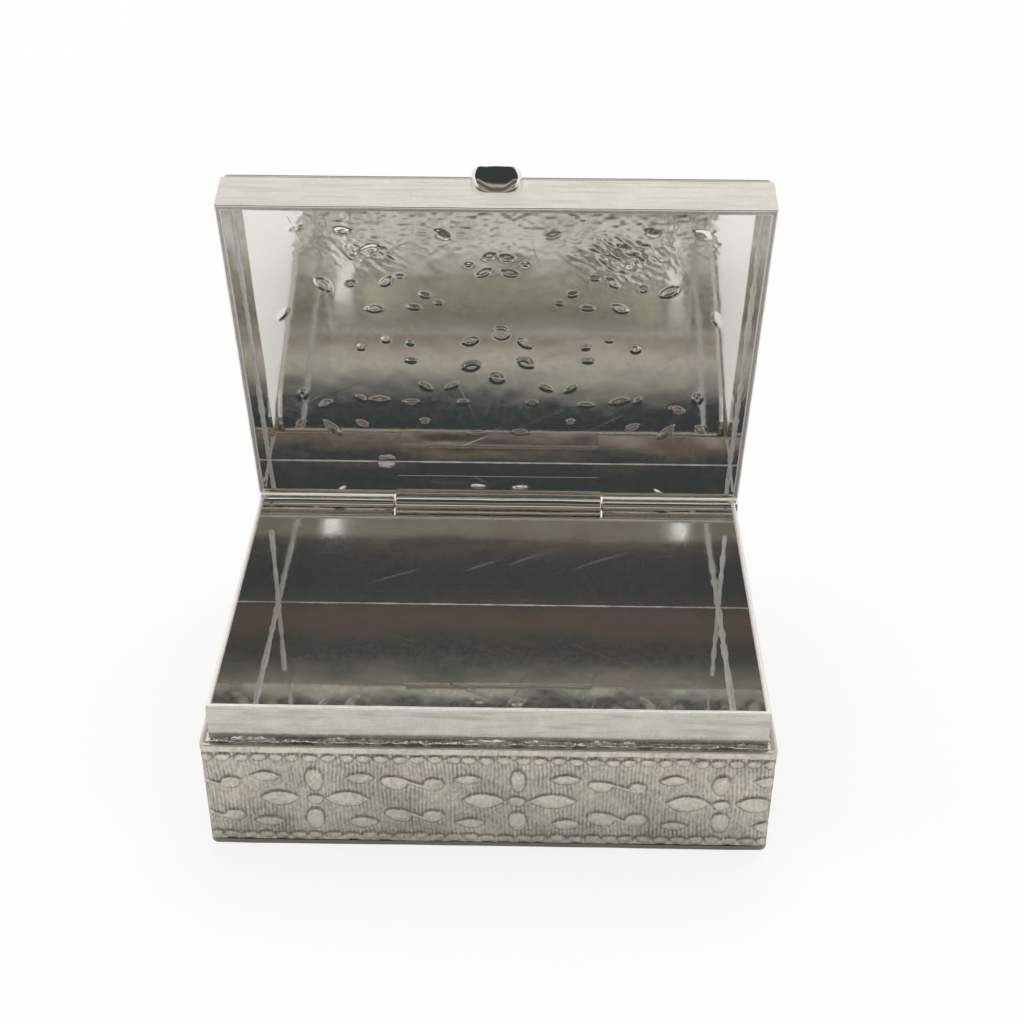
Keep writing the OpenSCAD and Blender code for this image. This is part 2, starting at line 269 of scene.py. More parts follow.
# Sheet silver polished by hand: it mirrors a little unevenly
POLISHED = silver("polished sheet silver", "#efede7", "#dfdcd3",
                  rough=(0.05, 0.1), dents=(2.5, 0.002))
# The same sheet inside the box: it mirrors almost undisturbed, as a hollow nobody rubs does
INSIDE = silver("aged sheet silver", "#f4f4f1", "#ecebe7",
                patch=7, rough=(0.03, 0.07), dents=(6, 0.003))
# The box's rear wall inside, hammered flat less evenly, so that what it mirrors is drawn out and soft
UNEVEN = silver("uneven sheet silver", "#f4f4f1", "#ecebe7",
                patch=4, rough=(0.05, 0.1), dents=(4, 0.007))
# The floor, which the beads have scratched a little
SCRATCHED = silver("scratched sheet silver", "#f4f4f1", "#ecebe7",
                   patch=7, rough=(0.03, 0.07), dents=(6, 0.003), scratches=0.002)
# Drawn silver tube, bright from handling, so that it shows every lamp and shadow as a line
TUBE = silver("drawn silver tube", "#f3f1ec", "#e2dfd8",
              patch=3, rough=(0.02, 0.06), dents=(2.2, 0.005))
# The collar's outside, rubbed by the lid: greyer, softly scuffed and pitted
RUBBED = silver("rubbed sheet silver", "#dcdad4", "#b5b1a8",
                patch=2.2, rough=(0.16, 0.3), dents=(1.1, 0.012), grain=(0.5, 0.004, 10))
# Sheet silver rubbed with fine abrasive along its length: a creamy satin with faint brushed lines
SATIN = silver("brushed sheet silver", "#f4f1e8", "#dcd7ca",
               patch=5, rough=(0.2, 0.28), dents=(2.2, 0.012), grain=(0.45, 0.006, 14), turn=OPEN)
# The sheet's sawn edge, filed flat and left grey
EDGE = silver("filed edge of sheet silver", "#b9b8b6", "#8e8c89",
              patch=1.5, rough=(0.25, 0.4), dents=(0.7, 0.02))
# Free edges that lid and collar burr and rub on each other: a bright frosty line
WORN = silver("worn edge of sheet silver", "#fffdf6", "#dedad0",
              patch=1, rough=(0.25, 0.4), dents=(0.5, 0.05), metal=0.5)
# Die-stamped sheet silver: satin on the raised forms and ribs, with tarnish in the grooves between; the same
# dark colour paints shade along the forms' upper edges and on the rolled edge below
STAMPED = silver("stamped sheet silver", "#e2ddd3", "#cfc9bd",
                 patch=3, rough=(0.26, 0.4), dents=(0.45, 0.02), tarnish_and_shade="#837e75")
# Sheet silver chased from the outside: its inside mirrors between the marks
CHASED = silver("chased sheet silver", "#f4f4f2", "#e9e9e6",
                patch=5, rough=(0.03, 0.08), dents=(3, 0.004), scratches=0.002, turn=OPEN)
# The cover's outside: evenly satin from cleaning cloths, with tarnish left in the chased marks
OUTSIDE = silver("chased satin silver", "#efebe1", "#d8d3c7",
                 patch=5, rough=(0.24, 0.34), dents=(1.6, 0.015), tarnish_and_shade="#7d776d")
# Silver solder that filled the ledge's gap: bright lumps that sparkle
SOLDER = silver("silver solder", "#faf8f2", "#c2beb4",
                patch=1.2, rough=(0.06, 0.25), dents=(0.35, 0.1))
# Silver solder in the corners, never rubbed: white and frosty
FROSTED = silver("frosted silver solder", "#ffffff", "#d3d0c8",
                 patch=0.9, rough=(0.25, 0.5), dents=(0.4, 0.08), metal=0.3)
# Copper-rich solder: it mirrors in a pinkish tan
COPPERY = silver("coppery solder", "#e9d6cb", "#bd9f90",
                 patch=0.8, rough=(0.15, 0.3), dents=(0.5, 0.05))


# The stamped band

RIB_PITCH = 0.4
FLOWER_Z = 6.3
MOTIF_PITCH, MOTIF_SHIFT = 20.4, 3.0
BEAD_PITCH, BEAD_DROP, LOW_BEAD_Z, FOOT_LINE_Z = 1.75, 1.6, 1.35, 1.2
ROLL_R = 0.3
RIB_H, SUNK_DEPTH = 0.12, 0.05
# One motif: shape, place across and up from the flower's centre, length and height
MOTIF = [("round", 0, 0, 1.5, 1.3), ("leaf", -3.35, 0, 4.0, 1.95), ("leaf", 3.35, 0, 4.2, 1.95),
         ("round", 0, 2.65, 1.6, 2.75), ("round", 0, -2.65, 1.7, 2.7),
         ("leaf", -4.9, 3.05, 2.8, 1.3), ("leaf", 4.6, 3.05, 2.8, 1.3),
         ("leaf", -4.8, -3.05, 2.9, 1.3), ("leaf", 4.8, -3.05, 2.8, 1.4),
         ("scroll", 10.2, 2.2, 5.4, 1.7), ("scroll", 10.2, -2.2, 5.4, 1.7)]


def outline(s, half_w, half_d, radius, inset=0.0):
    """Points and outward normals of a rounded rectangle, s along it from the middle of the front.
    An inset moves them inward, and squeezes s so that the corners still meet."""
    halves = np.array([half_w, half_d, half_w, half_d])
    ends = np.cumsum(2 * halves)
    s = (np.asarray(s, float) + half_w) % ends[-1]
    side = np.minimum(np.searchsorted(ends, s, side="right"), 3)
    t = (s - ends[side] + halves[side]) * (halves[side] - inset) / halves[side]
    halves = halves - inset
    radius = max(radius - inset, 0.05)
    straight = halves[side] - radius
    turn = np.sign(t) * np.clip((np.abs(t) - straight) / radius, 0, 1) * math.pi / 4
    along = np.clip(t, -straight, straight) + radius * np.sin(turn)
    out = np.roll(halves, 1)[side] - radius * (1 - np.cos(turn))
    right = np.array([[1, 0], [0, 1], [-1, 0], [0, -1]])[side]
    away = np.array([[0, -1], [1, 0], [0, 1], [-1, 0]])[side]
    point = right * along[:, None] + away * out[:, None]
    normal = right * np.sin(turn)[:, None] + away * np.cos(turn)[:, None]
    return point, normal


def leaf_gap(u, v, length, height):
    """Distance outside a pointed leaf."""
    r = (length ** 2 + height ** 2) / (4 * height)
    return np.hypot(u, np.abs(v) + r - height / 2) - r


def round_gap(u, v, length, height):
    """Distance outside an oval."""
    return (np.hypot(u / length * 2, v / height * 2) - 1) * min(length, height) / 2


def scroll_gap(u, v, length, height):
    """Distance outside a lying scroll: a drop, a falling bar, and a round end above the bar's foot."""
    lobe = height / 2
    x = length / 2 - lobe
    left = leaf_gap((u + x + 0.1) * 0.9 + v * 0.35, v - 0.05, 2.6 * lobe, 2 * lobe)
    right = round_gap(u - x, v + 0.05, 2.15 * lobe, 1.85 * lobe)
    t = np.clip((u + x) / (2 * x), 0, 1)
    bar = np.abs(v - (0.62 - 1.25 * ease(t)) * lobe) - 0.27 * lobe - 0.12 * np.cos(t * math.pi) ** 2
    bar = np.maximum(bar, np.abs(u) - x)
    return np.minimum(np.minimum(left, right), bar)


GAPS = {"leaf": leaf_gap, "round": round_gap, "scroll": scroll_gap}


def stamped_height(s, z):
    """Two grids for columns s and rows z: the height of the band's surface above its ground, and how
    clean its metal is, with painted shade along the forms' upper edges."""
    across, up = s[None, :], z[:, None]
    bent_s = across + 0.1 * ripple(across / 1.7, up / 1.7, 1)
    bent_z = up + 0.09 * ripple(across / 1.9, up / 1.9, 2)
    gap = np.full((len(z), len(s)), 9.0)
    first = math.floor((s[0] - MOTIF_SHIFT) / MOTIF_PITCH) - 1
    for number in range(first, math.ceil((s[-1] - MOTIF_SHIFT) / MOTIF_PITCH) + 1):
        chance = np.random.default_rng(number + 100)
        for shape, x, y, length, height in MOTIF:
            dx, dy, grow, fatten = chance.normal(0, [0.1, 0.07, 0.05, 0.05])
            middle = number * MOTIF_PITCH + MOTIF_SHIFT + x + dx
            near = slice(*np.searchsorted(s, [middle - 4, middle + 4]))
            if near.start < near.stop:
                u, v = bent_s[:, near] - middle, bent_z[:, near] - FLOWER_Z - y - dy
                found = GAPS[shape](u, v, length * (1 + grow), height * (1 + fatten))
                gap[:, near] = np.minimum(gap[:, near], found)
    bead = np.round(bent_s / BEAD_PITCH)
    from_bead = bent_s - bead * BEAD_PITCH - 0.12 * ripple(bead, 0, 3)
    high = round_gap(from_bead, bent_z - (BAND_H - BEAD_DROP) + 0.05 * ripple(bead, 0, 4), 1.3, 1.0)
    low = round_gap(from_bead, bent_z - LOW_BEAD_Z - 0.1 * ripple(bead, 0, 5), 1.35, 0.8)
    gap = np.minimum(gap, np.minimum(high, low))
    # flat-topped forms, a little domed, with a fine sunk line round them
    form = RELIEF * (0.84 + 0.16 * ease(-gap / 0.55)) * ease(0.5 - gap / 0.12)
    sunk = SUNK_DEPTH * np.exp(-(np.maximum(gap, 0) / 0.13 - 0.8) ** 2)
    # vertical ribs of the ground, uneven and in places worn away
    phase = (bent_s + 0.22 * ripple(across / 5, up / 4, 6) + 0.02 * up) / RIB_PITCH
    worn = 0.6 + 0.4 * ripple(across / 3.5, up / 2.5, 7) + 0.32 * ripple(across / 0.5, up / 1.1, 21)
    ridge = (0.5 - 0.5 * np.cos(2 * math.pi * phase)) ** 1.4
    rib = RIB_H * np.clip(worn, 0, 1.1) * ridge
    # short bars between the beads and the lip
    from_gap = np.abs(BEAD_PITCH / 2 - np.abs(from_bead))
    bar = RELIEF * 0.8 * ease(1.6 - from_gap / 0.13) * ease((bent_z - BAND_H + BEAD_DROP) / 0.2)
    lip = RELIEF * ease((up - BAND_H + LIP_H + 0.07 * ripple(across / 1.2, 0, 8)) / 0.12 + 0.5)
    foot = RELIEF * 0.7 * ease((FOOT_LINE_Z + 0.1 * ripple(across / 0.9, 0, 9) - up) / 0.15 + 0.5)
    height = np.maximum.reduce([form, rib, bar, lip, foot]) - sunk * (lip < 0.1)
    # how clean the metal is, with painted shade: polished on what stands up, tarnished dark in the grooves
    # and in the sunk line round the forms, that line darker on the forms' upper side as painted shade
    high = np.maximum.reduce([form, bar, lip, foot * 1.2]) / RELIEF
    clean_and_unshaded = np.maximum(0.3 + 0.52 * ridge * np.clip(worn, 0, 1) + 0.3 * (1 - worn), high * 0.84)
    # weights the sunk line to the forms' upper side, where its extra darkness is painted shade
    above = np.clip(0.5 + np.gradient(gap, axis=0) / (z[1] - z[0]), 0.15, 1)
    outline_tarnish_and_shade = above * np.exp(-((gap - 0.1) / 0.08) ** 2) * (lip < 0.1)
    clean_and_unshaded = clean_and_unshaded - 0.95 * outline_tarnish_and_shade * (1 + 0.6 * ripple(across, up, 24))
    clean_and_unshaded = clean_and_unshaded + 0.16 * ripple(across / 2.6, up / 2.2, 22) + 0.26 * ripple(across / 0.22, up / 0.3, 23)
    # the relief fades where the sheet bends round the corners
    from_corner = np.minimum(np.abs(across - s[0]), np.abs(across - s[-1]))
    bent = ease(1.3 - from_corner / 0.7 + 0.3 * ripple(up / 0.8, 0, 25))
    height = np.maximum(height, 0.85 * RELIEF * bent)
    coarse = 0.012 * (1 + ripple(across / 2.3, up / 2.3, 10))
    grit = coarse + 0.005 * (1 + ripple(across / 0.4, up / 0.4, 11))
    return height - grit, np.clip(clean_and_unshaded, 0, 1)


def notch_depth(s, z, middle):
    """How far the groove for the lid's knuckle cuts into the rear."""
    reach = LID_KNUCKLE_R + 0.15
    cut = np.sqrt(np.maximum(reach ** 2 - (z - AXIS[2]) ** 2, 0)) - (AXIS[1] - HALF_D)
    inside = np.abs(s - middle) < LID_KNUCKLE_X + 0.55
    return np.maximum(cut, 0)[:, None] * inside[None, :]


def roll(z, radius):
    """How far the lower edge draws in at height z."""
    return radius - np.sqrt(radius ** 2 - np.maximum(radius - z, 0) ** 2)


def stamped_side(name, start, end, row):
    """One side of the band, from corner to corner, row mm between rows of points."""
    columns = np.linspace(start, end, round((end - start) / (RIB_PITCH / 5)) + 1)
    edge = SHEET_EDGE_R
    rows = np.linspace(BASE_T, BAND_H - edge, round((BAND_H - edge - BASE_T) / row) + 1)
    height, clean_and_unshaded = stamped_height(columns, rows)
    out = height - RELIEF - roll(rows, ROLL_R)[:, None]
    middle = (start + end) / 2
    if middle > HALF_W + 2 * HALF_D:
        out = np.minimum(out, -notch_depth(columns, rows, middle))
    bend = np.radians([30, 60, 90])[:, None]
    last = out[-1][None, :]
    dip = 0.03 * (1 + ripple(columns / 3, 0, 12))[None, :]
    rim_out = last - edge * (1 - np.cos(bend))
    rim_z = BAND_H - edge + (edge - dip * 0.5) * np.sin(bend)
    inner = np.full((2, len(columns)), -BAND_T)
    out = np.vstack([out, rim_out, inner])
    heights = np.vstack([np.tile(rows[:, None], len(columns)), rim_z, rim_z[-1:],
                         np.full((1, len(columns)), BASE_T)])
    point, normal = outline(columns, HALF_W, HALF_D, CORNER_R)
    flat = point[:, None, :] + normal[:, None, :] * out.T[:, :, None]
    rings = np.concatenate([flat, heights.T[:, :, None]], -1)
    clean_and_unshaded = np.vstack([clean_and_unshaded, np.ones((len(out) - len(rows), len(columns)))]).T
    points, faces = sweep(rings)
    return add_piece(name, points, faces, "box", STAMPED, ["embossed_band"],
                     relief=clean_and_unshaded.reshape(-1))


stamped_side("embossed_band_front", -HALF_W, HALF_W, row=0.1)
stamped_side("embossed_band_right", HALF_W, HALF_W + 2 * HALF_D, row=0.13)
stamped_side("embossed_band_left", -HALF_W - 2 * HALF_D, -HALF_W, row=0.13)
stamped_side("embossed_band_rear", HALF_W + 2 * HALF_D, 3 * HALF_W + 2 * HALF_D, row=0.13)


# The base plate: its rolled edge, and the floor inside

FLOOR_MARGIN, FLOOR_CORNER_R, FLOOR_UNDER_Z = 1.2, 0.3, 0.03
# How much of the rolled edge stays bright: almost all of it takes the tarnish colour, as painted shade where
# the box meets the floor
EDGE_CLEAN_AND_UNSHADED = 0.12


def base_edge():
    bend = np.radians(np.linspace(0, 90, 7))
    profile = [(FLOOR_MARGIN, 0)]
    profile += [(ROLL_R * (1 - math.sin(a)), ROLL_R * (1 - math.cos(a))) for a in bend]
    profile += [(0, BASE_T), (FLOOR_MARGIN, BASE_T)]
    s = np.linspace(-HALF_W, 3 * HALF_W + 4 * HALF_D, 900)[:-1]
    waver = 0.035 * (1 + ripple(s / 4, 0, 13))
    rings = []
    for back, z in profile:
        point, normal = outline(s, HALF_W, HALF_D, CORNER_R, back)
        flat = point - normal * (waver * (z > 0) * (back < 1))[:, None]
        rings.append(np.concatenate([flat, np.full((len(s), 1), z)], 1))
    points, faces = sweep(np.stack(rings, 1), loop=True)
    # the rolled edge is painted dark all round: painted shade along the foot
    add_piece("base_plate_edge", points, faces, "box", STAMPED, ["base_plate"],
              relief=np.full(len(points), EDGE_CLEAN_AND_UNSHADED), crease=40)


base_edge()


# Plates made as a grid: the box's floor and the lid's cover

def crowded(half, step):
    """Coordinates across a plate, close together near its edges."""
    close = np.array([0, 0.04, 0.1, 0.18, 0.28])
    wide = np.linspace(0.4 - half, half - 0.4, round(2 * (half - 0.4) / step) + 1)
    return np.concatenate([close - half, wide, half - close[::-1]])


def grid_plate(name, half_w, half_d, radius, step, top, under, body, materials, replaces, clean_and_unshaded=None):
    """A plate whose points lie step mm apart. top and under give the heights of its two sides, and clean
    how free of tarnish its upper side is, from x, y and the distance to its edge. materials holds that
    of its underside and, where it differs, that of its upper side and rim."""
    x, y = np.meshgrid(crowded(half_w, step), crowded(half_d, step), indexing="ij")
    # pulls the square corners in on to the round ones
    u = np.maximum(np.abs(x) - half_w + radius, 0) / radius
    v = np.maximum(np.abs(y) - half_d + radius, 0) / radius
    pull = np.where(u * v > 0, np.maximum(u, v) / np.maximum(np.hypot(u, v), 1e-9), 1)
    px = np.where(u > 0, np.sign(x) * (half_w - radius + radius * u * pull), x)
    py = np.where(v > 0, np.sign(y) * (half_d - radius + radius * v * pull), y)
    margin = np.minimum(half_w - np.abs(x), half_d - np.abs(y))
    points = np.concatenate([np.stack([px, py, z(x, y, margin)], -1).reshape(-1, 3) for z in (top, under)])
    n, m = x.shape
    i, j = np.meshgrid(np.arange(n - 1), np.arange(m - 1), indexing="ij")
    quad = np.stack([i * m + j, (i + 1) * m + j, (i + 1) * m + j + 1, i * m + j + 1], -1).reshape(-1, 4)
    ring = np.concatenate([np.arange(m), np.arange(1, n) * m + m - 1,
                           (n - 1) * m + np.arange(m - 2, -1, -1), np.arange(n - 2, 0, -1) * m])
    after = np.roll(ring, -1)
    rim = np.stack([ring, after, after + n * m, ring + n * m], -1)
    faces = np.concatenate([rim, quad, quad[:, ::-1] + n * m]).tolist()
    relief = None
    if clean_and_unshaded:
        relief = np.concatenate([clean_and_unshaded(x, y, margin).reshape(-1), np.ones(x.size)])
    plate = add_piece(name, points, faces, body, materials[0], replaces, relief, crease=50)
    if len(materials) > 1:
        plate.data.materials.append(materials[1])
        upper = [1] * (len(rim) + len(quad))
        plate.data.polygons.foreach_set("material_index", upper + [0] * len(quad))
    return plate


def floor_top(x, y, margin):
    return BASE_T - 0.01 * (1 + ripple(x / 9, y / 8, 14)) - 0.002 * ripple(x / 2.5, y / 2.5, 15)


def floor_under(x, y, margin):
    return FLOOR_UNDER_Z + 0 * x


grid_plate("base_plate_floor", HALF_W - FLOOR_MARGIN, HALF_D - FLOOR_MARGIN, FLOOR_CORNER_R, 0.5,
           floor_top, floor_under, "box", [SCRATCHED], ["base_plate"])


# Plain strips: the collar and the lid's walls

def section(thick, low, high, low_r, high_r, rows):
    """Outline of an upright strip with soft edges: x through it from its outer face, z up."""
    bend = np.radians(np.linspace(0, 90, 5))
    face = np.linspace(low + low_r, high - high_r, rows)
    outer = [(0, z) for z in np.sort(np.append(face, [face[0] + 0.05, face[-1] - 0.05]))]
    outer += [(high_r * (1 - math.cos(a)), high - high_r * (1 - math.sin(a))) for a in bend[1:]]
    inner = [(thick - x, z) for x, z in reversed(outer)]
    foot = [(thick - low_r * (1 - math.cos(a)), low + low_r * (1 - math.sin(a))) for a in bend[1:]]
    heel = [(thick - x, z) for x, z in reversed(foot)]
    return np.array(outer + inner + foot + heel)


def plain_strip(name, length, thick, low, high, put, body, finish, mitres=(1, 1),
                edge_r=SHEET_EDGE_R, waver=0.03, top_waver=0.04, seed=0, top=None, rim_low=False,
                replaces=None):
    """A strip of sheet along a side, mitred at its ends, with soft edges and a hand-made waver.
    put(along, through, z) gives the place of points, along from the middle and through from the outer face.
    top(along, z) lowers its points, and rim_low says that its free edge is the lower one.
    finish holds the materials of its outer face, inner face, free edge and that edge's roundings."""
    roots = (edge_r, ROOT_R) if rim_low else (ROOT_R, edge_r)
    profile = section(thick, low, high, *roots, rows=9)
    stations = np.linspace(-1, 1, max(round(length / 0.6), 8) + 1)
    through, z = profile[:, 0][None, :], profile[:, 1][None, :]
    half = length / 2
    ends = np.where(stations > 0, half - mitres[1] * through.T, half - mitres[0] * through.T).T
    along = stations[:, None] * ends
    up = (z - low) / (high - low)
    free = 1 - up if rim_low else up
    calm = ease((half - np.abs(along)) / 2.5)
    shift = waver * calm * (0.25 + 0.75 * free) * ripple(along / 7, up * 1.5, seed)
    # the outer face only draws in, so that it stays within the part's own
    outer = through < thick / 2
    through = through + np.abs(shift) * outer + shift * ~outer * 0.6
    wave = 0.5 * ripple(along / 6, 0, seed + 1) + 0.35 * ripple(along / 0.9, 0, seed + 2) - 0.85
    lift = top_waver * free ** 3 * wave
    height = z + (-lift if rim_low else lift)
    if top is not None:
        height = top(along, height)
    points, faces = sweep(put(along, through, height))
    strip = add_piece(name, points, faces, body, finish[0], [replaces or name], crease=35)
    for material in finish[1:]:
        strip.data.materials.append(material)
    middle_x, middle_z = ((profile + np.roll(profile, -1, axis=0)) / 2).T
    beyond = edge_r - (middle_z - low if rim_low else high - middle_z)
    index = np.where(middle_x > thick * 0.9, 1, 0)
    rounding = np.abs(middle_x - thick / 2) > thick / 2 - edge_r
    index[beyond > 0] = np.where(rounding, 3, 2)[beyond > 0]
    index = np.concatenate([np.tile(index, len(stations) - 1), [0, 0]])
    strip.data.polygons.foreach_set("material_index", index)
    return strip


# Ways to put a strip: its outer face stands this far out from the middle of the box

def put_front(out):
    return lambda a, t, z: np.stack([a, t - out, z + 0 * a], -1)


def put_rear(out):
    return lambda a, t, z: np.stack([a, out - t, z + 0 * a], -1)


def put_side(out, sign, middle):
    return lambda a, t, z: np.stack([sign * (out - t), a + middle, z + 0 * a], -1)


# The collar's sides end just short of where the lid's rear wall comes down
SIDE_GAP = 0.06
SIDE_END = LINER_REAR - SIDE_GAP
SIDE_L = SIDE_END + COLLAR_FRONT
SIDE_MIDDLE = (SIDE_END - COLLAR_FRONT) / 2


def collar_slope(along, z):
    """Cuts the slope into the rear end of one of the collar's sides."""
    y = along + SIDE_MIDDLE
    limit = LINER_TOP - np.clip((y - INNER_REAR + SLOPE_L) / SLOPE_L, 0, 1) * SLOPE_DROP
    return np.minimum(z, np.maximum(limit, BAND_H) - (LINER_TOP - z) * 0.2)


COLLAR_FINISH = (RUBBED, INSIDE, WORN, WORN)
LID_SIDE_FINISH = (SATIN, INSIDE, EDGE, WORN)

plain_strip("liner_front_strip", 2 * COLLAR_X, LINER_T, BASE_T, LINER_TOP, put_front(COLLAR_FRONT),
            "box", COLLAR_FINISH, seed=20, replaces="liner_front")
plain_strip("liner_left_strip", SIDE_L, LINER_T, BASE_T, LINER_TOP, put_side(COLLAR_X, -1, SIDE_MIDDLE),
            "box", COLLAR_FINISH, mitres=(1, 0), seed=24, top=collar_slope,
            replaces="liner_left")
plain_strip("liner_right_strip", SIDE_L, LINER_T, BASE_T, LINER_TOP, put_side(COLLAR_X, 1, SIDE_MIDDLE),
            "box", COLLAR_FINISH, mitres=(1, 0), seed=28, top=collar_slope,
            replaces="liner_right")
plain_strip("liner_rear_strip", 2 * (COLLAR_X - LINER_T), LINER_T, BASE_T, BAND_H,
            put_rear(LINER_REAR), "box", (INSIDE, UNEVEN, WORN, INSIDE),
            mitres=(0, 0), seed=32, replaces="liner_rear")
plain_strip("lid_wall_front_strip", 2 * HALF_W, WALL_T, RIM_Z, COVER_Z, put_front(HALF_D), "lid",
            (SATIN, SATIN, EDGE, POLISHED), seed=36, rim_low=True, top_waver=0.07,
            replaces="lid_wall_front")
plain_strip("lid_wall_left_strip", 2 * HALF_D, WALL_T, RIM_Z, COVER_Z, put_side(HALF_W, -1, 0), "lid",
            LID_SIDE_FINISH, seed=40, rim_low=True, replaces="lid_wall_left")
plain_strip("lid_wall_right_strip", 2 * HALF_D, WALL_T, RIM_Z, COVER_Z, put_side(HALF_W, 1, 0), "lid",
            LID_SIDE_FINISH, seed=44, rim_low=True, replaces="lid_wall_right")


# The lid's cover plate

COVER_EDGE_R = 0.28
# Depth of a mark's middle and of the line round it, and how much deeper they are on the struck side
DISH_DEPTH, LINE_DEPTH, STRUCK = 0.015, 0.042, 1.6
# Marks chased from the outside, mirrored left and right: across, towards the hinge, length, width, tilt
MARKS = [(0, 0, 2, 2, 45), (0, 6.5, 1.6, 1.4, 45), (3, 1, 2, 1, 25), (3, 4.5, 2, 1.2, 30),
         (1, -10.5, 1.6, 0.8, 20), (1.5, -8.5, 2, 0.8, 20), (3, -9.5, 0.8, 0.4, 0),
         (5.5, 8, 1.2, 0.4, 35), (8.5, 8, 1.2, 0.4, -35), (4, 10.5, 0.8, 0.4, 0),
         (10, 10.5, 1.4, 0.4, 5), (14, 10, 2, 0.6, -5), (16, 10, 1, 0.4, -50),
         (20.5, 11, 1.6, 0.8, 20), (12.5, -7.5, 1.6, 0.8, 40), (16, -7, 0.8, 0.8, 0),
         (8, -6, 1, 0.6, -20), (9.5, -4, 1.2, 0.4, 0), (7, -4.5, 0.8, 0.4, 0),
         (13.5, -3.5, 2, 0.8, 10), (19, -6.5, 2.4, 1.2, -35), (14, -11.5, 3.2, 1, 35),
         (10.5, -8, 1, 0.4, 0), (16.5, -14, 1.6, 0.6, 0), (10, 1.5, 0.8, 0.6, 0),
         (12.5, 0.5, 0.8, 0.8, 0), (15.5, 2, 0.8, 0.8, 0), (10, 4, 1, 0.4, 0),
         (23, 9.5, 1.6, 0.8, 80), (23.5, 14, 1.2, 0.6, 40), (20, 14.5, 2.6, 0.6, -50),
         (16, 13.5, 1.2, 0.4, -20), (8.5, 13, 0.8, 0.4, 0), (2.5, 15, 1.6, 0.4, 0),
         (24, -2.5, 2, 0.6, 60), (6, -13.5, 1.8, 0.8, -25), (21.5, -14, 1.8, 0.8, 30)]


def chased_depth(x, y):
    """Depth of the chased marks at each point of a grid."""
    depth = np.zeros_like(x)
    bent_x = x + 0.12 * ripple(x / 1.5, y / 1.5, 51)
    bent_y = y + 0.12 * ripple(x / 1.5, y / 1.5, 52)
    for number, (across, back, length, width, tilt) in enumerate(MARKS):
        for side in ((-1, 1) if across else (1,)):
            chance = np.random.default_rng(number * 2 + side + 200)
            dx, dy, turn, press = chance.normal(0, [0.15, 0.15, 6, 0.22])
            angle = math.radians(side * tilt + turn)
            u, v = bent_x - side * across - dx, bent_y - back - dy
            u, v = u * math.cos(angle) + v * math.sin(angle), v * math.cos(angle) - u * math.sin(angle)
            gap = leaf_gap(u, v, 0.85 * length, 0.8 * width)
            one_sided = 0.25 + 0.75 * ease(0.5 + v / width * (1 if number % 3 else -1))
            mark = DISH_DEPTH * ease(0.5 - gap / 0.3)
            mark = mark + LINE_DEPTH * one_sided * np.exp(-(gap / 0.15) ** 2)
            depth = np.maximum(depth, mark * (1 + press))
    # two crumpled patches where the sheet was pressed back, and fine creases near the front
    patch = np.exp(-((x - 13.5) / 4.2) ** 2 - ((y + 10.3) / 2.4) ** 2)
    patch = patch + 0.5 * np.exp(-((x + 13.5) / 3.5) ** 2 - ((y + 10.8) / 1.6) ** 2)
    folds = ripple((x + y) / 1.3 + 0.4 * ripple(x, y, 53), (x - y) / 0.4, 54)
    fine = ripple(x / 0.6, y / 0.35, 58) * ease((-y - 9) / 4)
    return depth + 0.04 * patch * folds + 0.004 * fine


def plain_border(margin):
    """0 along the cover's edges, which have no marks, and 1 further in."""
    return ease((margin - 2) / 1.5)


def cover_top(x, y, margin):
    a = np.clip(np.abs(x) / (HALF_W - COVER_MARGIN), 0, 1)
    b = np.clip(np.abs(y) / (HALF_D - COVER_MARGIN), 0, 1)
    cushion = 0.97 * COVER_RISE * (1 - a ** 2.4) * (1 - b ** 2.4)
    bend = np.clip(1 - margin / COVER_EDGE_R, 0, 1)
    edge = COVER_EDGE_R * (1 - np.sqrt(1 - bend ** 2))
    marks = STRUCK * chased_depth(x, y) * plain_border(margin)
    return COVER_TOP + cushion - marks - edge - 0.015 * (1 + ripple(x / 4, y / 4, 55))


def cover_under(x, y, margin):
    marks = chased_depth(x, y) * plain_border(margin)
    waver = 0.008 * ripple(x / 6, y / 5, 56) + 0.0015 * ripple(x / 1.6, y / 1.6, 57)
    return COVER_Z + 0.04 - marks + waver * ease((margin - 1) / 2)


def cover_clean(x, y, margin):
    return np.clip(1 - chased_depth(x, y) / 0.05, 0, 1) * ease(margin / 0.4)


grid_plate("cover_plate_chased", HALF_W, HALF_D, CORNER_R, 0.17, cover_top, cover_under, "lid",
           [CHASED, OUTSIDE], ["cover_plate"], cover_clean)


# The lid's rear wall, grooved for its hinge tube, and the strip inside it

def put_grooved(along, through, z):
    reach = np.sqrt(np.maximum(LID_KNUCKLE_R ** 2 - (z - AXIS[2]) ** 2, 0))
    cut = np.maximum(HALF_D - AXIS[1] + reach, 0) * (np.abs(along) < LID_KNUCKLE_X)
    return put_rear(HALF_D)(along, np.maximum(through, cut), z)


plain_strip("lid_wall_rear_strip", 2 * HALF_W, WALL_T, RIM_Z, COVER_Z, put_grooved, "lid",
            (SATIN, INSIDE, INSIDE, INSIDE), seed=48, rim_low=True, replaces="lid_wall_rear")
plain_strip("lid_hinge_strip_bar", 2 * LID_KNUCKLE_X, STRIP_HI[1] - STRIP_LO[1], STRIP_LO[2],
            STRIP_HI[2], put_rear(STRIP_HI[1]), "lid", (INSIDE,) * 4,
            mitres=(0, 0), seed=60, replaces="lid_hinge_strip")


# The hinge tubes

FOOT_H = 2.2


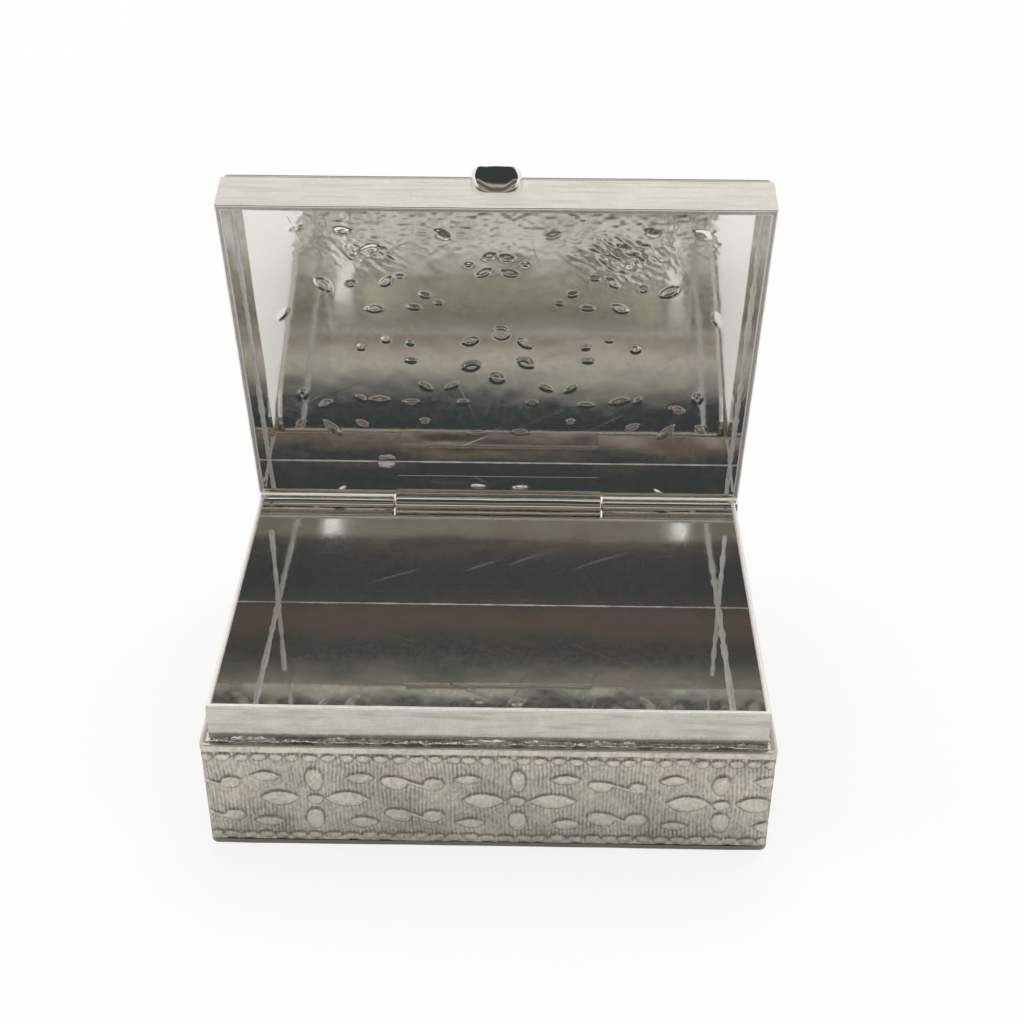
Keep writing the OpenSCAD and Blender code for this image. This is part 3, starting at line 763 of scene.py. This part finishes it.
def tube(name, start, end, radius, bore, body, seed, foot=False):
    """A tube along X with soft ends and a slightly uneven skin. A foot runs down to the band's rear."""
    turn = np.radians(np.arange(0, 360, 5))
    reach = np.full(len(turn), radius)
    if foot:
        # the foot's lower face runs from the band to the tube's underside
        back, low = AXIS[1] - HALF_D, AXIS[2] - BAND_H + FOOT_H
        y, z = np.cos(turn), np.sin(turn)
        lower = z < 0.11
        to_band = np.where((y < 0) & lower, -back / np.minimum(y, -1e-9), 0)
        fall = (low - radius) / back
        to_face = np.where(z - fall * y < 0, -radius / np.minimum(z - fall * y, -1e-9), 1e9)
        reach = np.maximum(reach, np.where(lower, np.minimum(to_band, to_face), 0))
    along = np.linspace(start, end, round(abs(end - start) / 0.5) + 1)
    soft = 0.16
    # half the tube's outline, along and out: bore, soft end, skin, soft end, bore
    steps = [(start, bore), (start, radius - soft)]
    steps += [(start + soft * (1 - math.cos(a)), radius - soft + soft * math.sin(a)) for a in (0.6, 1.1)]
    steps += [(start + soft, radius), (start + soft + 0.06, radius)]
    steps += [(x, radius) for x in along[1:-1]]
    steps += [(end - soft - 0.06, radius), (end - soft, radius)]
    steps += [(end - soft * (1 - math.cos(a)), radius - soft + soft * math.sin(a)) for a in (1.1, 0.6)]
    steps += [(end, radius - soft), (end, bore)]
    x, r = np.array(steps).T[:, None, :]
    grow = np.where(r > bore, r - radius + reach[:, None], r)
    skin = 1 - 0.006 * (1 + ripple(x / 3.5, turn[:, None] * 1.5, seed)) * (r > bore)
    grow = grow * skin
    turn = turn[:, None]
    rings = np.stack([x + 0 * grow, AXIS[1] + grow * np.cos(turn), AXIS[2] + grow * np.sin(turn)], -1)
    points, faces = sweep(rings, loop=True)
    return add_piece(name + "_tube", points, faces, body, TUBE, [name], crease=45)


LID_TUBE_X = LID_KNUCKLE_X + KNUCKLE_GAP
BOX_TUBE_X = LID_KNUCKLE_X + 2 * KNUCKLE_GAP
tube("knuckle_lid", -LID_TUBE_X, LID_TUBE_X, LID_KNUCKLE_R, PIN_R + PIN_GAP, "lid", seed=61)
tube("knuckle_left", -HALF_W, -BOX_TUBE_X, KNUCKLE_R, PIN_R, "box", seed=62, foot=True)
tube("knuckle_right", BOX_TUBE_X, HALF_W, KNUCKLE_R, PIN_R, "box", seed=63, foot=True)


# The thumbpiece: a lobe on the lid's front with a flat upper side and a sloping lower one

# The lobe's shares of the frame's thumbpiece, across and out, and down
LOBE_SHARE, LOBE_TALL_SHARE = 0.99, 0.8


def thumbpiece():
    half, out = THUMB_HI[0] * LOBE_SHARE, (-HALF_D - THUMB_LO[1]) * LOBE_SHARE
    tall = LOBE_TALL_SHARE * (THUMB_HI[2] - THUMB_LO[2])
    u = np.sin(np.radians(np.linspace(-90, 90, 61)))[None, :]
    down = np.concatenate([[0, 0.03], np.linspace(0.06, 0.99, 30)])[:, None]
    # the upper side's edge is bevelled a little
    shrink = np.array([0.93] + [1.0] * 31)[:, None]
    x = half * shrink * np.sqrt(1 - down ** 2.2) * u
    depth = out * shrink * (1 - down) * (1 + 0.28 * down) * (1 - np.abs(u) ** 7) ** 0.6
    depth = depth * (0.97 + 0.03 * ripple(x / 1.1, down * 1.5, 64))
    z = THUMB_HI[2] - down * tall + 0 * x
    front = np.stack([x, -HALF_D - depth, z], -1)
    back = np.stack([x[:, [-1, 0]], np.full((len(down), 2), 0.1 - HALF_D), z[:, :2]], -1)
    points, faces = sweep(np.concatenate([front, back], 1))
    add_piece("thumbpiece_lobe", points, faces, "lid", TUBE, ["thumbpiece"], crease=50)


thumbpiece()


# Solder: in the ledge's gap, and in the upright corners

def ledge_solder():
    """Runs round three sides in the gap between band and collar, and climbs a little up the collar."""
    reach = HALF_W + 2 * HALF_D - CORNER_R - 0.4
    s = np.linspace(-reach, reach, 1300)
    climb = 0.22 + 0.2 * ripple(s / 1.6, 0, 71) + 0.1 * ripple(s / 0.4, 0, 72)
    fill = -0.05 + 0.06 * ripple(s / 1.1, 0, 73) + 0.05 * ripple(s / 0.35, 0, 74)
    # its outline: place inward from the band's face, share of the climb, depth below the ledge
    profile = [(1.01, 1, 0), (0.96, 0.75, 0), (0.88, 0.3, 0), (0.77, 0, 0), (0.64, -0.1, 0),
               (0.64, 0, 1.15), (1.01, 0, 1.15)]
    rings = []
    for inset, share, low in profile:
        point = outline(s, HALF_W, HALF_D, CORNER_R, inset)[0]
        z = BAND_H - low if low else BAND_H + fill + share * (np.maximum(climb, 0.05) - fill)
        rings.append(np.concatenate([point, (z + 0 * s)[:, None]], 1))
    points, faces = sweep(np.stack(rings, 1))
    add_piece("ledge_solder_fill", points, faces, "box", SOLDER, ["ledge_solder"], crease=60)


# How far a fillet's back is sunk into the sheets that it joins
SOLDER_SUNK = 0.03


def fillet(name, axis, low, high, corner, toward, size, body, seed, node):
    """A hollow-faced fillet along an inner edge. It runs from low to high along an axis. corner is the
    edge's place on the other two axes, and toward the signs of these axes that lead out of the corner."""
    along = np.linspace(low, high, round((high - low) / 0.2) + 1)
    bend = np.radians(np.linspace(0, 90, 7))[None, :]
    swell = 1 + 0.28 * ripple(along / 1.3, 0, seed) + 0.16 * ripple(along / 0.4, 0, seed + 1)
    grow = size * swell[:, None]
    lump = 1 + 0.12 * ripple(along[:, None] / 0.5, bend * 2, seed + 2) * np.sin(2 * bend)
    behind = np.full((len(along), 1), -SOLDER_SUNK)
    a = np.concatenate([grow * (1 - np.sin(bend) * lump * 0.97), behind], 1)
    b = np.concatenate([grow * (1 - np.cos(bend) * lump * 0.97), behind], 1)
    rings = np.repeat(along[:, None, None], 3, axis=2) + np.zeros(a.shape + (1,))
    first, second = [k for k in range(3) if k != axis]
    rings[..., first] = corner[0] + toward[0] * a
    rings[..., second] = corner[1] + toward[1] * b
    points, faces = sweep(rings)
    add_piece(name, points, faces, body, FROSTED, [node], crease=60)


def dab(name, centre, size, body, seed, material, node):
    """A lump of solder, half sunk into what it sits on."""
    down = np.radians(np.linspace(4, 176, 15))[:, None]
    turn = np.radians(np.arange(0, 360, 15))[None, :]
    r = 1 + 0.3 * ripple(turn * 1.3 + 0 * down, down * 1.6, seed) * np.sin(down)
    wide = r * np.sin(down)
    shape = np.stack([r * np.cos(down) + 0 * turn, wide * np.cos(turn), wide * np.sin(turn)], -1)
    points, faces = sweep(shape * size + centre)
    add_piece(name, points, faces, body, material, [node], crease=60)


ledge_solder()
INNER_X, INNER_FRONT = COLLAR_X - LINER_T, COLLAR_FRONT - LINER_T
LID_X, LID_Y = HALF_W - WALL_T, HALF_D - WALL_T
X, Y, Z = 0, 1, 2
# The box's upright corners: end, its direction, place and the height that the solder reaches
ENDS = [("front", -1, -INNER_FRONT, LINER_TOP - 0.4), ("rear", 1, INNER_REAR, BAND_H - 2)]
seed = 80
for sx, side in ((-1, "left"), (1, "right")):
    for end, sy, box_y, box_top in ENDS:
        fillet("box_fillet_%s_%s" % (end, side), Z, BASE_T, box_top, (sx * INNER_X, box_y), (-sx, -sy),
               size=0.28, body="box", seed=seed, node="box_corner_solder")
        fillet("lid_fillet_%s_%s" % (end, side), Z, RIM_Z + 0.6, COVER_Z, (sx * LID_X, sy * LID_Y),
               (-sx, -sy), size=0.2, body="lid", seed=seed + 3, node="lid_corner_solder")
        seed += 6
    fillet("floor_fillet_" + side, Y, -INNER_FRONT, INNER_REAR, (sx * INNER_X, BASE_T), (-sx, 1),
           size=0.34, body="box", seed=seed, node="box_corner_solder")
    fillet("cover_fillet_" + side, Y, -LID_Y, LID_Y, (sx * LID_X, COVER_Z), (-sx, -1),
           size=0.3, body="lid", seed=seed + 3, node="lid_corner_solder")
    seed += 6
fillet("floor_fillet_rear", X, -INNER_X, INNER_X, (INNER_REAR, BASE_T), (-1, 1),
       size=0.1, body="box", seed=seed, node="box_corner_solder")
fillet("cover_fillet_rear", X, -LID_X, LID_X, (LID_Y, COVER_Z), (-1, -1),
       size=0.12, body="lid", seed=seed + 3, node="lid_corner_solder")
fillet("cover_fillet_front", X, -LID_X, LID_X, (-LID_Y, COVER_Z), (1, -1),
       size=0.3, body="lid", seed=seed + 6, node="lid_corner_solder")
dab("lid_solder_lump", (-13.6, LID_Y - 0.1, COVER_Z - 0.5), (1, 0.3, 0.45), "lid", seed=150,
    material=FROSTED, node="lid_corner_solder")
dab("lid_copper_dab", (-LID_X, LID_Y - 0.6, RIM_Z + 0.9), (0.22, 0.6, 0.6), "lid", seed=151,
    material=COPPERY, node="lid_corner_solder")

# The pin shows only at its ends, so the frame's own mesh does for it
pin_slots = frame["nodes"]["hinge_pin"].data.materials
pin_slots.clear()
pin_slots.append(POLISHED)


# The studio: a white surround, a pale floor, a screen for the silver to mirror, and soft lamps

# The surround is white to the camera and in mirrors, and a little dimmer where it lights the box
world = bpy.data.worlds.new("white surround")
bpy.context.scene.world = world
world.use_nodes = True
tree = world.node_tree
tree.nodes.clear()
path = add(tree, "ShaderNodeLightPath")
some = add(tree, "ShaderNodeMath", {0: path.outputs["Is Camera Ray"], 1: path.outputs["Is Glossy Ray"]},
           operation="MAXIMUM")
shown = add(tree, "ShaderNodeMath", {0: some.outputs[0], 1: path.outputs["Is Transmission Ray"]},
            operation="MAXIMUM")
level = add(tree, "ShaderNodeMapRange", {"Value": shown.outputs[0], "To Min": 0.75})
sky = add(tree, "ShaderNodeBackground", {"Color": (1, 1, 1, 1), "Strength": level.outputs[0]})
add(tree, "ShaderNodeOutputWorld", {"Surface": sky.outputs[0]})

# The floor is matt paint, but mostly plain white to the camera, so that it runs on into the surround
floor_paint, tree = blank_material("pale floor")
path = add(tree, "ShaderNodeLightPath")
matt = add(tree, "ShaderNodeBsdfDiffuse", {"Color": linear("#f4f3f0")})
white = add(tree, "ShaderNodeEmission", {"Color": (1, 1, 1, 1)})
share = add(tree, "ShaderNodeMapRange", {"Value": path.outputs["Is Camera Ray"], "To Max": 0.8})
both = add(tree, "ShaderNodeMixShader", {"Fac": share.outputs[0], 1: matt.outputs[0], 2: white.outputs[0]})
add(tree, "ShaderNodeOutputMaterial", {"Surface": both.outputs[0]})

FLOOR_R, FLOOR_SIDES = 1.6, 64
floor_mesh = bpy.data.meshes.new("floor")
turns = np.linspace(0, 2 * math.pi, FLOOR_SIDES + 1)[:-1]
floor_mesh.from_pydata([(FLOOR_R * math.cos(a), FLOOR_R * math.sin(a), 0) for a in turns], [],
                       [list(range(FLOOR_SIDES))])
floor_mesh.materials.append(floor_paint)
show("floor", floor_mesh)

# The room that the silver mirrors: a curved screen from low in front, over the box, to high behind, which
# only gloss sees. It has strips of five paints, given by their angle over the front: a dim warm wall with
# pale and dark strips across it, its dark upper part, a lit ceiling, and a white wall behind.
WHITE, PALE, GREY, BROWN, DARK = "#ffffff", "#c0bbaf", "#969189", "#705e54", "#3a4142"
STRIPS = [(4, BROWN), (14, BROWN), (17, GREY), (19, GREY), (19.5, PALE), (20.1, PALE), (20.4, DARK),
          (21.3, DARK), (22, BROWN), (28.5, BROWN), (30, WHITE), (31.5, WHITE), (33, PALE), (33.9, GREY),
          (35, BROWN), (36.2, DARK), (38.7, DARK), (39.6, BROWN), (41.2, DARK), (42.2, DARK), (43.4, GREY),
          (44.6, BROWN), (50.5, BROWN), (52.5, PALE), (55, DARK), (74, DARK), (79, WHITE), (121, WHITE),
          (122.5, GREY), (125.2, GREY), (127, WHITE), (134, WHITE)]
# Its radius in metres, how far it goes to each side in degrees, and its points up and across
ROOM_R, ROOM_WIDE = 0.4, 62
ROOM_UP, ROOM_ACROSS = 521, 41
angles = np.linspace(STRIPS[0][0], STRIPS[-1][0], ROOM_UP)
strip_angles = [at for at, _ in STRIPS]
strip_colours = np.array([linear(code) for _, code in STRIPS])
room_colours = np.stack([np.interp(angles, strip_angles, strip_colours[:, k]) for k in range(4)], -1)
lift = np.radians(angles)[:, None]
spread = np.radians(np.linspace(-ROOM_WIDE, ROOM_WIDE, ROOM_ACROSS))[None, :]
screen = np.stack([np.sin(spread) + 0 * lift, -np.cos(spread) * np.cos(lift),
                   np.cos(spread) * np.sin(lift)], -1)
i, j = np.meshgrid(np.arange(ROOM_UP - 1), np.arange(ROOM_ACROSS - 1), indexing="ij")
here, above = i * ROOM_ACROSS + j, (i + 1) * ROOM_ACROSS + j
screen_faces = np.stack([here, here + 1, above + 1, above], -1).reshape(-1, 4)
room_mesh = bpy.data.meshes.new("room_side")
room_mesh.from_pydata((screen * ROOM_R).reshape(-1, 3).tolist(), [], screen_faces.tolist())
room_mesh.attributes.new("paint", "FLOAT_COLOR", "POINT").data.foreach_set(
    "color", np.repeat(room_colours, ROOM_ACROSS, axis=0).reshape(-1))
room_paint, tree = blank_material("dark side of the room")
paint = add(tree, "ShaderNodeAttribute", attribute_name="paint")
dim = add(tree, "ShaderNodeEmission", {"Color": paint.outputs["Color"]})
add(tree, "ShaderNodeOutputMaterial", {"Surface": dim.outputs[0]})
room_mesh.materials.append(room_paint)
room = show("room_side", room_mesh)
for ray in ("camera", "diffuse", "transmission", "volume_scatter", "shadow"):
    setattr(room, "visible_" + ray, False)


LAMPS_AIM_M = (0, 0, 0.02)


def lamp(name, place_m, size_m, watts):
    """A square lamp turned to the box, which the silver doesn't mirror."""
    light = bpy.data.lights.new(name, "AREA")
    light.size = size_m
    light.energy = watts
    lamp_object = show(name, light)
    lamp_object.location = place_m
    lamp_object.visible_glossy = False
    aim = Vector(LAMPS_AIM_M) - Vector(place_m)
    lamp_object.rotation_euler = aim.to_track_quat("-Z", "Y").to_euler()


lamp("overhead_lamp", place_m=(0.1, 0.35, 0.9), size_m=0.7, watts=3.0)
lamp("left_lamp", place_m=(-0.9, -0.1, 0.5), size_m=0.5, watts=1.5)

# The camera stands where the photo's edges put it
EYE_M = (0.00407, -0.1397, 0.12165)
FOCAL_PX, IMAGE_PX, SENSOR_MM = 1626.57, 1024, 36
PITCH, YAW, ROLL = math.radians(33.95), math.radians(-0.86), math.radians(0.23)
across = Vector((math.cos(YAW), -math.sin(YAW), 0))
ahead = Vector((math.sin(YAW) * math.cos(PITCH), math.cos(YAW) * math.cos(PITCH), -math.sin(PITCH)))
upward = across.cross(ahead)
right = across * math.cos(ROLL) + upward * math.sin(ROLL)
over = upward * math.cos(ROLL) - across * math.sin(ROLL)
camera = bpy.data.cameras.new("camera")
camera.sensor_width = SENSOR_MM
camera.lens = FOCAL_PX / IMAGE_PX * SENSOR_MM
camera.clip_start = 0.01
eye = show("camera", camera)
turned = Matrix((right, over, -ahead)).transposed().to_4x4()
eye.matrix_world = Matrix.Translation(EYE_M) @ turned
bpy.context.scene.camera = eye
bpy.context.scene.view_settings.view_transform = "Standard"
# Light goes back and forth between the mirror faces more often than the four times of the default
bpy.context.scene.cycles.glossy_bounces = 10
